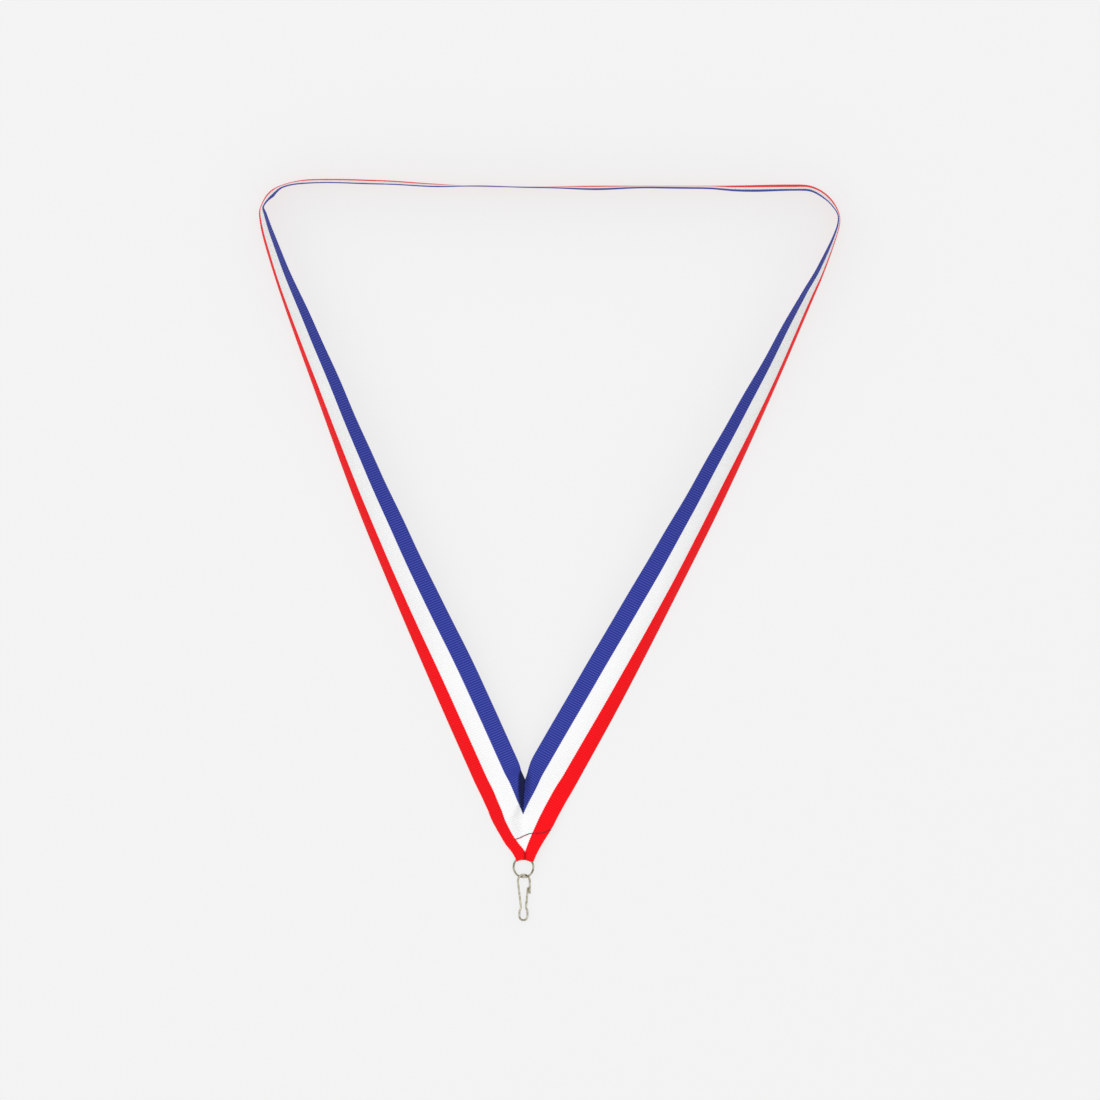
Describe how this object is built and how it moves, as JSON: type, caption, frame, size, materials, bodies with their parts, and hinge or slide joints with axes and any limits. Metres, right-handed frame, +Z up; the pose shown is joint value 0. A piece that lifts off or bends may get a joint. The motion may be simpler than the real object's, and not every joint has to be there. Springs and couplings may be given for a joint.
{
  "type": "medal neck ribbon with clip",
  "caption": "Striped grosgrain neck ribbon sewn into a V-shaped loop, with a jump ring in the folded point and a bent-wire snap clip for a medal.",
  "frame": {"origin": "middle of the whole outline, on the table it lies on", "axes": "+Y from the clip towards the back of the neck, +Z up from the table, +X to the right with the ribbon's outer face up"},
  "size_m": [0.2412, 0.3079, 0.022],
  "materials": {
    "ribbon_cloth": "ribbed grosgrain weave with a red, a white and a blue stripe",
    "red_cloth": "ribbed grosgrain weave",
    "thread": "fine sewing thread",
    "ring_metal": "bright nickel plate, a little worn",
    "clip_metal": "bright nickel plate with a pale warm tone"
  },
  "bodies": {
    "ribbon": {"neck_ribbon": "ribbon_cloth", "ring_fold": "red_cloth", "mitre_stitches": "thread", "cross_stitches": "thread"},
    "ring": {"jump_ring": "ring_metal"},
    "clip": {"clip_hook": "clip_metal"},
    "clip_arm": {"clip_arm": "clip_metal"}
  },
  "joints": [
    {"name": "ring_swing", "type": "hinge", "parent": "ribbon", "child": "ring", "pos_m": [-0.011, -0.12726, 0.00178], "axis": [-0.9781, 0, -0.2079], "range_deg": [-90, 90], "deforming": ["ring_fold"]},
    {"name": "clip_swing", "type": "hinge", "parent": "ring", "child": "clip", "pos_m": [-0.011, -0.13566, 0.00178], "axis": [-0.9781, 0, -0.2079], "range_deg": [-80, 80]},
    {"name": "clip_arm_flex", "type": "hinge", "parent": "clip", "child": "clip_arm", "pos_m": [-0.011, -0.15346, 0.00178], "axis": [0.4695, 0, 0.8829], "range_deg": [0, 12], "stiffness_Nm_per_rad": 0.05}
  ]
}
